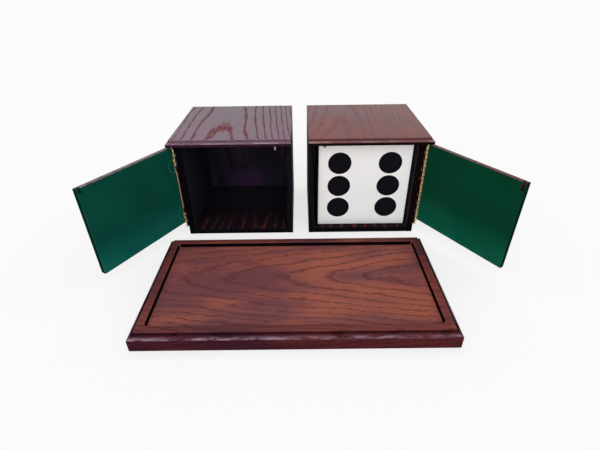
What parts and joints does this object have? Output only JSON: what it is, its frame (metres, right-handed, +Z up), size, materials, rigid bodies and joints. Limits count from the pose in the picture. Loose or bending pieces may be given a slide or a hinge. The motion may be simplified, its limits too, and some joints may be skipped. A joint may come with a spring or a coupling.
{
  "type": "magic dice box",
  "caption": "Pair of small wooden cabinets with hinged green-lined doors, a hinged die front flap, a large die and a moulded wooden tray.",
  "frame": {"origin": "on the table under the middle of the tray, in the plane that the tray and both cabinets stand on", "axes": "+X to the right along the tray's length, +Y from the viewer to the backs of the cabinets, +Z up"},
  "size_m": [0.3841, 0.283, 0.116],
  "materials": {
    "tray_wood": "satin",
    "top_wood": "satin",
    "dark_wood": "satin",
    "brass": "polished",
    "steel": "polished",
    "green_lining": "semi-gloss",
    "painted_sheet": "semi-gloss green, white on the die side",
    "white_paint": "gloss white paint",
    "black_paint": "gloss black"
  },
  "bodies": {
    "tray": {"tray": "tray_wood"},
    "left_cabinet": {"left_top_board": "top_wood", "left_floor_board": "dark_wood", "left_outer_side": "dark_wood", "left_inner_side": "dark_wood", "left_back_panel": "dark_wood", "left_carcass_leaf": "brass", "left_carcass_leaf_screws": "brass", "left_hinge_pin": "brass", "left_catch_bush": "brass"},
    "left_door": {"left_door_panel": "dark_wood", "left_door_lining": "green_lining", "left_door_leaf": "brass", "left_door_leaf_screws": "brass"},
    "left_catch": {"left_catch_pin": "steel"},
    "right_cabinet": {"right_top_board": "top_wood", "right_floor_board": "dark_wood", "right_outer_side": "dark_wood", "right_inner_side": "dark_wood", "right_back_panel": "dark_wood", "right_carcass_leaf": "brass", "right_carcass_leaf_screws": "brass", "right_hinge_pin": "brass", "right_catch_bush": "brass"},
    "right_door": {"right_door_panel": "dark_wood", "right_door_lining": "green_lining", "right_door_leaf": "brass", "right_door_leaf_screws": "brass"},
    "right_catch": {"right_catch_pin": "steel"},
    "left_flap": {"left_die_flap": "painted_sheet", "left_die_flap_pips": "black_paint"},
    "die": {"die_body": "white_paint", "die_pips": "black_paint"}
  },
  "joints": [
    {"name": "left_cabinet_lift", "type": "slide", "parent": "tray", "child": "left_cabinet", "axis": [0, 0, 1], "range_m": [0, 0.06]},
    {"name": "left_door_hinge", "type": "hinge", "parent": "left_cabinet", "child": "left_door", "pos_m": [-0.1249, 0.1006, 0.06], "axis": [0, 0, -1], "range_deg": [-121, 53]},
    {"name": "left_catch_slide", "type": "slide", "parent": "left_cabinet", "child": "left_catch", "axis": [0, 0, 1], "range_m": [0, 0.002]},
    {"name": "right_cabinet_lift", "type": "slide", "parent": "tray", "child": "right_cabinet", "axis": [0, 0, 1], "range_m": [0, 0.06]},
    {"name": "right_door_hinge", "type": "hinge", "parent": "right_cabinet", "child": "right_door", "pos_m": [0.1365, 0.1006, 0.06], "axis": [0, 0, 1], "range_deg": [-122.5, 51.5]},
    {"name": "right_catch_slide", "type": "slide", "parent": "right_cabinet", "child": "right_catch", "axis": [0, 0, 1], "range_m": [-0.002, 0]},
    {"name": "left_flap_hinge", "type": "hinge", "parent": "left_door", "child": "left_flap", "pos_m": [-0.1249, 0.1006, 0.06], "axis": [0, 0, 1], "range_deg": [0, 121]},
    {"name": "die_slide", "type": "slide", "parent": "right_cabinet", "child": "die", "axis": [0, -1, 0], "range_m": [0, 0.038]}
  ]
}
